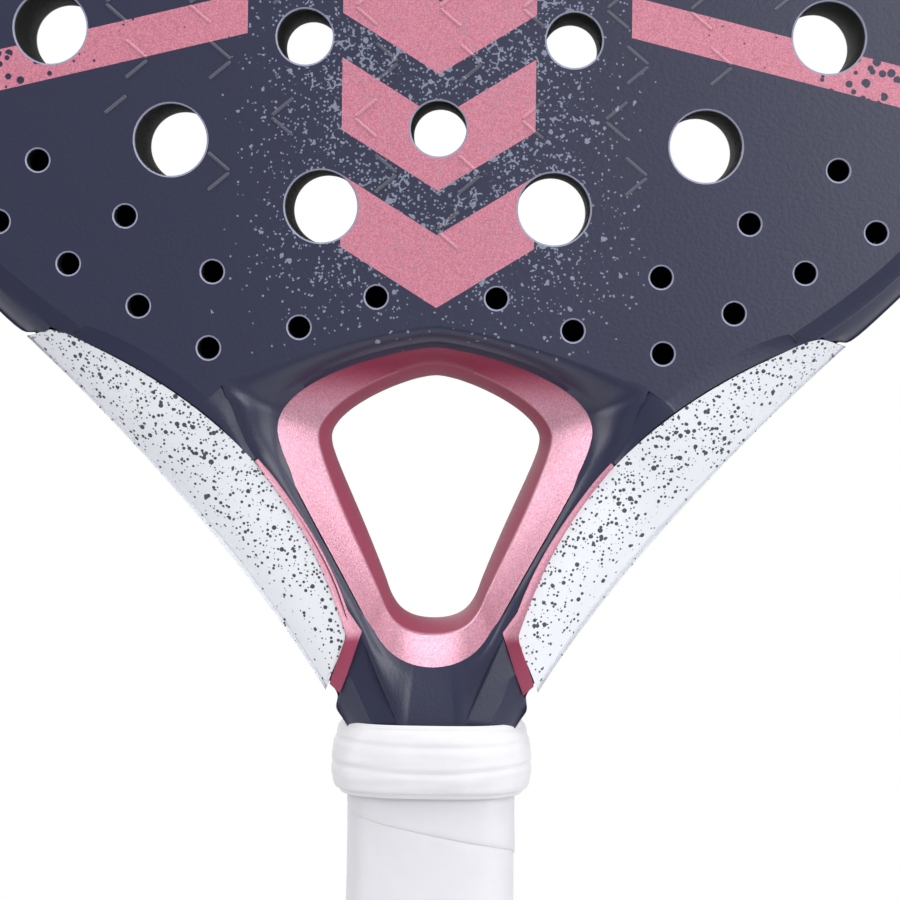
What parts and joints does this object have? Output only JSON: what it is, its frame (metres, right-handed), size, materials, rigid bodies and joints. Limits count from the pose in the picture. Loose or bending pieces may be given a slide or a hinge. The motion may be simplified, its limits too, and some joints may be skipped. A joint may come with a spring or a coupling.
{
  "type": "padel racket",
  "caption": "Padel racket with a round drilled head, a heart-shaped opening in the throat, raised pale arm covers and a wound grip.",
  "frame": {"origin": "on the handle axis in the middle of the hand, 62 mm above the butt end", "axes": "+Z from the butt end to the tip, +X to the right seen from the front, the front face looks towards -Y"},
  "size_m": [0.26, 0.038, 0.455],
  "materials": {
    "frame_lacquer": "satin navy lacquer over laid-up fibre",
    "core_foam": "black closed-cell foam",
    "face_lacquer": "satin navy lacquer over laid-up fibre, with rose and grey print",
    "throat_lacquer": "satin navy lacquer",
    "rose_paint": "pearl rose paint",
    "rose_trim": "pearl rose paint",
    "white_paint": "white paint with dark speckles",
    "handle_foam": "rigid foam",
    "black_plastic": "moulded plastic",
    "grip_strip": "pale synthetic leather strip",
    "tape": "thin adhesive tape",
    "collar_rubber": "pale soft rubber"
  },
  "bodies": {
    "racket": {"frame_tube": "frame_lacquer", "core": "core_foam", "face_front": "face_lacquer", "face_rear": "face_lacquer", "throat_yoke": "throat_lacquer", "heart_ring": "rose_paint", "wing_cover_left": "white_paint", "wing_cover_right": "white_paint", "wing_trim_front_left": "rose_trim", "wing_trim_front_right": "rose_trim", "wing_trim_rear_left": "rose_trim", "wing_trim_rear_right": "rose_trim", "handle_pallet_front": "handle_foam", "handle_pallet_rear": "handle_foam", "butt_cap": "black_plastic", "grip_strip": "grip_strip", "finishing_tape": "tape"},
    "collar": {"collar": "collar_rubber"}
  },
  "joints": [
    {"name": "collar_slide", "type": "slide", "parent": "racket", "child": "collar", "axis": [0, 0, -1], "range_m": [0, 0.03]}
  ]
}
